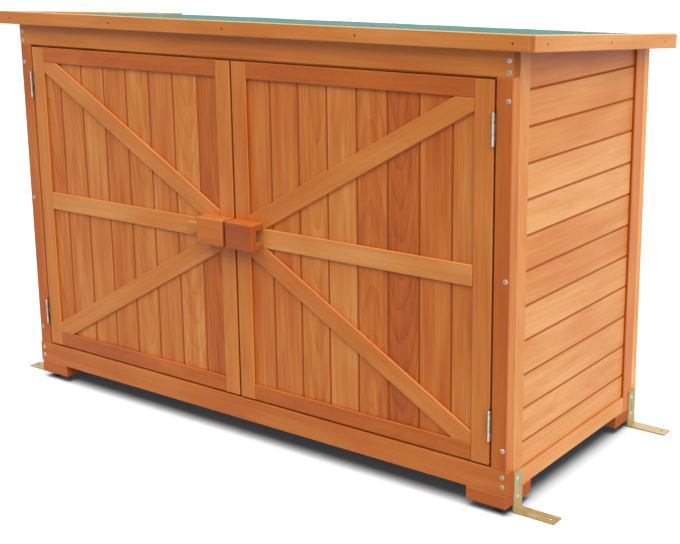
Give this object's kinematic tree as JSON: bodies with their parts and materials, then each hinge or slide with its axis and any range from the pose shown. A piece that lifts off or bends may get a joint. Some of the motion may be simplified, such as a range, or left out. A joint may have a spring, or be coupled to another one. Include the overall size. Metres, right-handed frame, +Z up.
{
  "type": "wooden tool shed",
  "caption": "Low lean-to wooden tool shed: board walls, mineral felt roof, a pair of braced doors with a sliding wooden latch, and steel ground brackets.",
  "frame": {"origin": "centre of the overall footprint at ground level, under the foot pads and ground brackets", "axes": "+X along the front to the viewer's right, +Y from the doors to the back wall, +Z up"},
  "size_m": [1.51, 0.629, 0.915],
  "materials": {
    "stained_timber": "sawn softwood with a reddish-brown stain",
    "stained_boards": "planed softwood boards with a reddish-brown stain",
    "mineral_felt": "bitumen felt with green mineral grit",
    "yellow_zinc_steel": "yellow zinc plated",
    "hinge_steel": "bright zinc plated",
    "black_rubber": "matt"
  },
  "bodies": {
    "cabinet": {"back_boards": "stained_boards", "back_sill": "stained_timber", "back_stiles": "stained_timber", "back_top_rail": "stained_timber", "floor_bearers": "stained_timber", "floor_boards": "stained_boards", "foot_blocks": "stained_timber", "foot_pads": "black_rubber", "front_fascia": "stained_timber", "front_header": "stained_timber", "front_sill": "stained_timber", "front_stiles": "stained_timber", "ground_brackets": "yellow_zinc_steel", "hinge_frame_leaves": "hinge_steel", "left_back_post": "stained_timber", "left_bargeboard": "stained_timber", "left_front_post": "stained_timber", "left_side_boards": "stained_boards", "left_side_rail": "stained_timber", "right_back_post": "stained_timber", "right_bargeboard": "stained_timber", "right_front_post": "stained_timber", "right_side_boards": "stained_boards", "right_side_rail": "stained_timber", "roof_deck": "stained_timber", "roof_felt": "mineral_felt"},
    "left_door": {"left_door_boards": "stained_boards", "left_door_bottom_rail": "stained_timber", "left_door_braces": "stained_timber", "left_door_inner_stile": "stained_timber", "left_door_middle_rail": "stained_timber", "left_door_outer_stile": "stained_timber", "left_door_top_rail": "stained_timber", "left_hinge_door_leaves": "hinge_steel", "left_latch_keeper": "stained_timber"},
    "right_door": {"right_door_boards": "stained_boards", "right_door_bottom_rail": "stained_timber", "right_door_braces": "stained_timber", "right_door_inner_stile": "stained_timber", "right_door_middle_rail": "stained_timber", "right_door_outer_stile": "stained_timber", "right_door_top_rail": "stained_timber", "right_hinge_door_leaves": "hinge_steel", "right_latch_keeper": "stained_timber"},
    "latch_bar": {"latch_bar": "stained_timber"}
  },
  "joints": [
    {"name": "left_door_hinge", "type": "hinge", "parent": "cabinet", "child": "left_door", "pos_m": [-0.6305, -0.282, 0.4648], "axis": [0, 0, -1], "range_deg": [0, 170]},
    {"name": "right_door_hinge", "type": "hinge", "parent": "cabinet", "child": "right_door", "pos_m": [0.6305, -0.282, 0.4648], "axis": [0, 0, 1], "range_deg": [0, 170]},
    {"name": "latch_slide", "type": "slide", "parent": "left_door", "child": "latch_bar", "axis": [1, 0, 0], "range_m": [0, 0.04]}
  ]
}
